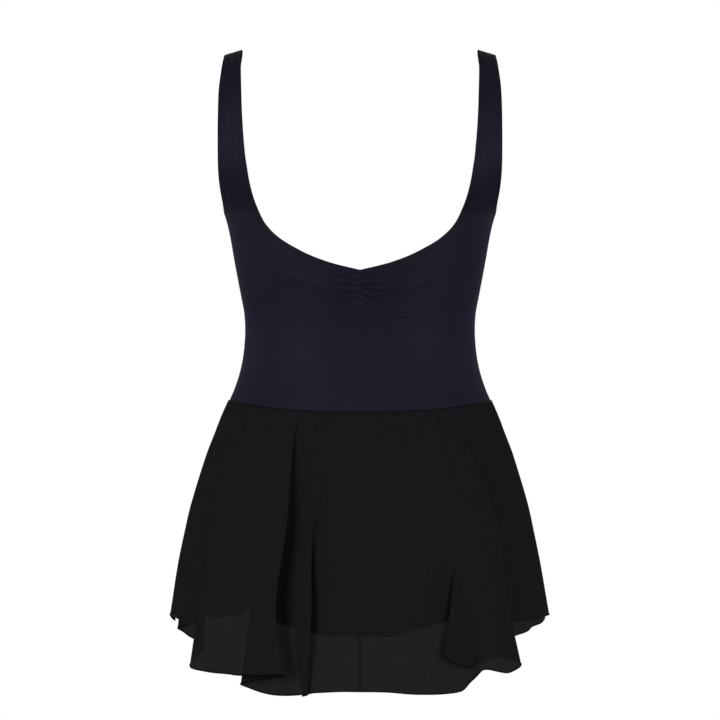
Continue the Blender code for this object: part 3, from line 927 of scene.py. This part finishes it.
def stitches(path):
    """Short raised stitches along a line on the cloth."""
    parts = []
    points = resampled(path, STITCH_PITCH)
    half = STITCH_LENGTH / 2
    for a, b in zip(points, points[1:]):
        start, end = Vector(a), Vector(b)
        middle, way = (start + end) / 2, (end - start).normalized()
        line = [tuple(middle + way * half * s) for s in STITCH_KNOTS]
        parts.append(tube(line, STITCH_RADIUS, sides=5, taper=1))
    return parts


def finish_edges(panels):
    """Rolled edges, turned-in allowances and two lines of stitches on every open edge."""
    rolls, bands, sewing = [], [], []
    for panel, which, join in panels:
        for path in both_ways(panel, which, EDGE_ROLL * ROLL_INSET, 0.0, join):
            rolls.append(tube(resampled(path, ROLL_STEP), EDGE_ROLL))
        bands += turned_band(panel, which, join)
        for distance in STITCH_LINES:
            for path in both_ways(panel, which, distance, KNIT_THICK / 2 + CLEARANCE, join):
                sewing += stitches(path)
    roll = mesh_object("edge_rolls", *joined(rolls))
    finish_cloth(roll, KNIT_PLAIN)
    band = mesh_object("turned_edges", *joined(bands))
    add_wall(band, BAND_THICK)
    finish_cloth(band, KNIT_PLAIN)
    sewn = mesh_object("edge_stitches", *joined(sewing))
    finish_cloth(sewn, THREAD)


def gather_line(panel):
    """The short stitched line under the gather, thin and fading at both ends; its darker thread
    also paints the shade of the seam's groove.
    """
    knots = [x for x, _ in GATHER_LINE]
    drops = [drop for _, drop in GATHER_LINE]
    path = []
    for k in range(GATHER_STEPS + 1):
        x = knots[0] + (knots[-1] - knots[0]) * k / GATHER_STEPS
        drop = along(knots, drops, x)
        point = body_point(turn_of(abs(x), drop), drop, BACK, 1 if x > 0 else -1)
        found, normal, _, _ = panel.tree.find_nearest(Vector(point) * MM)
        path.append(tuple(found / MM + normal * (KNIT_THICK / 2 - GATHER_LINE_SUNK)))
    line = tube(path, GATHER_LINE_RADIUS, sides=6, taper=GATHER_LINE_TAPER)
    finish_cloth(mesh_object("gather_line", *line), THREAD_AND_GROOVE_SHADE)


def bell_point(angle, out, fall, drop):
    """Point of the skirt's bell at an angle from the centre back, out from its surface."""
    depth = bell("back" if cos(angle) > 0 else "front", fall)
    return (bell("side", fall) + out) * sin(angle), -(depth + out) * cos(angle), -drop


def seam_ring_point(angle, away):
    """Point of the waist seam, moved away from the middle of the knit."""
    side = BACK if cos(angle) > 0 else FRONT
    turn = asin(min(1.0, abs(sin(angle))))
    x, y, z = body_point(turn, waist_seam(turn, side), side, 1 if sin(angle) > 0 else -1)
    length = hypot(x, y)
    return x * (1 + away / length), y * (1 + away / length), z


def tuck_height(angle, fall):
    """How far the small gathers draw the cloth in, or push it out beside them."""
    height = 0.0
    for tuck in TUCKS:
        near = (angle - tuck.angle) / tuck.width
        if abs(near) < TUCK_REACH:
            depth = tuck.depth * min(1.0, fall / TUCK_START) * exp(-((fall / tuck.reach) ** 2))
            height -= depth * exp(-(near**2))
            height += depth * TUCK_BANK * exp(-((near / TUCK_SPREAD) ** 2))
    return height


def hem_ruffle(place, fall):
    """Small uneven ripples of the bias-cut hem."""
    grow = max(0.0, (fall - RUFFLE_START) / (1 - RUFFLE_START)) ** 2
    broad = RUFFLE * sin(place / RUFFLE_PITCH + 1.3 * sin(place / RUFFLE_DRIFT))
    return grow * (broad + FINE_RUFFLE * sin(place / FINE_RUFFLE_PITCH + 2.0))


class Skirt:
    """Half of the skirt as an open sheet, with its lines from the waist seam to the hem."""

    def __init__(self, name, replaced, first, last, run, shift):
        values = columns_of(FOLDS)
        places = [run[first]]
        for k in range(first, last):
            steps = max(3, round((run[k + 1] - run[k]) / HEM_STEP))
            places += [run[k] + (run[k + 1] - run[k]) * s / steps for s in range(1, steps + 1)]
        away = KNIT_WALL / 2 + CHIFFON_WALL / 2 + SKIRT_STAND_OFF + SEAM_GAP
        cloth = [{key: along(run, values[key], place) for key in values} for place in places]
        tops = [seam_ring_point(radians(at["seam"]), away) for at in cloth]
        self.rows = []
        for r in range(SKIRT_ROWS + 1):
            fall = (r / SKIRT_ROWS) ** ROW_CROWDING
            self.rows.append([
                self.point(place, at, top, fall, shift)
                for place, at, top in zip(places, cloth, tops)
            ])
        self.object = self.make(name)
        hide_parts(replaced)

    def point(self, place, at, top, fall, shift):
        """Point of the cloth at a place along the hem and a share of the way down."""
        levels = (0.0, FOLD_MIDDLE, FOLD_LOW, 1.0)
        lower = (FOLD_LOW - FOLD_MIDDLE) / (1 - FOLD_MIDDLE)
        low = at["middle"] + (at["hem"] - at["middle"]) * lower + at["swing"]
        turned = along(levels, (at["seam"], at["middle"], low, at["hem"]), fall)
        low_out = at["middle_out"] + (at["hem_out"] - at["middle_out"]) * lower
        low_out += at["swing_out"]
        out = along(levels, (0.0, at["middle_out"], low_out, at["hem_out"]), fall)
        out += tuck_height(at["seam"], fall) + hem_ruffle(place, fall)
        drop = -top[2] + (at["drop"] + top[2]) * fall
        plain = bell_point(radians(at["seam"]), 0.0, 0.0, 0.0)
        x, y, z = bell_point(radians(turned), out, fall, drop)
        keep = (1 - fall) ** SEAM_FADE
        return (
            x + (top[0] - plain[0]) * keep + shift, y + (top[1] - plain[1]) * keep,
            z - SEAM_GAP / 2,
        )

    def make(self, name):
        """The half's mesh, an open sheet."""
        verts, places = [], []
        width = len(self.rows[0])
        down = [running(column) for column in zip(*self.rows)]
        for r, row in enumerate(self.rows):
            verts += row
            places += [(across * MM, down[c][r] * MM) for c, across in enumerate(running(row))]
        faces = []
        for r in range(len(self.rows) - 1):
            for c in range(width - 1):
                a = r * width + c
                faces.append((a, a + width, a + 1 + width, a + 1))
        made = mesh_object(name, verts, faces, places)
        finish_cloth(made, CHIFFON)
        return made


def skirt_seam(half, column, inside):
    """A seam's allowance: a narrow strip behind the edge of a half."""
    edge = [row[column] for row in half.rows]
    return strip([
        [(side * SEAM_HALF_WIDTH, y + inside, z) for _, y, z in edge] for side in (-1, 1)
    ])


def make_skirt():
    """Both halves of the skirt, their rolled hem, their two seams, and a dark tube along the waist
    seam that paints the shadow in its gap.
    """
    run = running([bell_point(radians(fold.hem), fold.hem_out, 1, fold.drop) for fold in FOLDS])
    centre = next(k for k, fold in enumerate(FOLDS) if fold.seam == 0)
    left = Skirt("sheer_left", "skirt_left", 0, centre, run, -SEAM_SHOWS)
    right = Skirt("sheer_right", "skirt_right", centre, len(FOLDS) - 1, run, SEAM_SHOWS)
    rolls = [tube(half.rows[-1], HEM_ROLL, sides=6) for half in (left, right)]
    finish_cloth(mesh_object("hem_roll", *joined(rolls)), HEM)
    strips = [skirt_seam(left, -1, SEAM_INSIDE), skirt_seam(left, 0, -SEAM_INSIDE)]
    finish_cloth(mesh_object("skirt_seams", *joined(strips)), HEM)
    # A dark tube round the waist seam: painted shadow in the gap between the bodice and the skirt
    ring = [
        seam_ring_point(2 * pi * k / RING_STEPS + RING_START, RING_AWAY)
        for k in range(RING_STEPS + 1)
    ]
    line = mesh_object("waist_seam", *tube(ring, SEAM_SHADOW_RADIUS, sides=8))
    finish_cloth(line, PAINTED_SEAM_SHADOW)
    return left, right


def area_light(light):
    """A soft rectangular light at one place, aimed at another."""
    lamp = bpy.data.lights.new(light.name, "AREA")
    lamp.shape = "RECTANGLE"
    lamp.size, lamp.size_y = light.size
    lamp.energy = light.power
    holder = bpy.data.objects.new(light.name, lamp)
    holder.location = light.place
    way = Vector(light.target) - Vector(light.place)
    holder.rotation_euler = way.to_track_quat("-Z", "Y").to_euler()
    bpy.context.scene.collection.objects.link(holder)
    holder.visible_diffuse = light.diffuse


def light_scene():
    """A white surround that lights the dress only faintly, and the soft lights."""
    world = bpy.data.worlds.new("studio")
    world.use_nodes = True
    tree = world.node_tree
    surround = tree.nodes["Background"]
    surround.inputs["Color"].default_value = (1, 1, 1, 1)
    rays = tree.nodes.new("ShaderNodeLightPath")
    strength = node(tree, "ShaderNodeMapRange", To_Min=SURROUND_LIGHT, To_Max=1.0)
    tree.links.new(rays.outputs["Is Camera Ray"], strength.inputs["Value"])
    tree.links.new(strength.outputs["Result"], surround.inputs["Strength"])
    bpy.context.scene.world = world
    for light in LIGHTS:
        area_light(light)


def place_camera():
    """Level with the middle of the dress, behind the wearer, about three metres off."""
    camera = bpy.data.cameras.new("camera")
    camera.sensor_width = SENSOR_WIDTH
    camera.lens = camera.sensor_width * CAMERA_DISTANCE / CAMERA_SEES
    holder = bpy.data.objects.new("camera", camera)
    holder.location = (0.0, -CAMERA_DISTANCE, CAMERA_HEIGHT)
    holder.rotation_euler = (pi / 2, 0.0, 0.0)
    bpy.context.scene.collection.objects.link(holder)
    bpy.context.scene.camera = holder


PANEL_SHARES = panel_shares()

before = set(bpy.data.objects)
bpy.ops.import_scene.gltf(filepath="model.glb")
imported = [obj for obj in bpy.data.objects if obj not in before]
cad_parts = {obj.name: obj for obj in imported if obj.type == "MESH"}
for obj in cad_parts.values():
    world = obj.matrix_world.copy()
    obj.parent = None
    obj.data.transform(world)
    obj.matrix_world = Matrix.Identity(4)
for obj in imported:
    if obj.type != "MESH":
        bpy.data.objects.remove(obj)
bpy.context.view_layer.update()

KNIT = make_knit("stretch_knit", KNIT_LOW, KNIT_HIGH)
KNIT_PLAIN = make_thread("knit_edge", KNIT_EDGE_COLOUR)
THREAD = make_thread("thread", THREAD_COLOUR)
# Thread of the gather line, with painted shade of its groove
THREAD_AND_GROOVE_SHADE = make_thread("thread_and_groove_shade", THREAD_AND_GROOVE_SHADE_COLOUR)
# The waist seam's painted shadow
PAINTED_SEAM_SHADOW = make_thread("seam_shadow", SEAM_SHADOW_COLOUR)
CHIFFON = make_chiffon("chiffon", CHIFFON_LOW, CHIFFON_HIGH)
HEM = make_thread("hem_thread", HEM_COLOUR)

back_panel = Panel(
    "back_panel", "bodice_back", bodice_grid(BACK_LINES, BACK), BACK,
    neck_turn(BACK_NECK, BACK_NECK_DROP), armhole_turn(BACK_ARMHOLE),
    upto(BACK_NECK_DROP), upto(UNDERARM),
)
front_panel = Panel(
    "front_panel", "bodice_front", bodice_grid(FRONT_LINES, FRONT), FRONT,
    neck_turn(FRONT_NECK, FRONT_NECK_DROP), armhole_turn(FRONT_ARMHOLE),
    upto(FRONT_NECK_DROP), upto(UNDERARM),
)
seat_panel = Panel(
    "seat_panel", "brief_back", brief_grid(BRIEF_BACK_LINES, BACK), BACK,
    centre_turn, leg_turn(LEG_BACK), closed, beyond(LEG_TOP),
)
brief_panel = Panel(
    "brief_panel", "brief_front", brief_grid(BRIEF_FRONT_LINES, FRONT), FRONT,
    centre_turn, leg_turn(LEG_FRONT), closed, beyond(LEG_TOP),
)
finish_edges([
    (back_panel, "inner", True), (front_panel, "inner", True),
    (back_panel, "outer", False), (front_panel, "outer", False),
    (seat_panel, "outer", False), (brief_panel, "outer", False),
])
gather_line(back_panel)
skirt_left, skirt_right = make_skirt()

light_scene()
place_camera()
bpy.context.scene.view_settings.view_transform = "Standard"
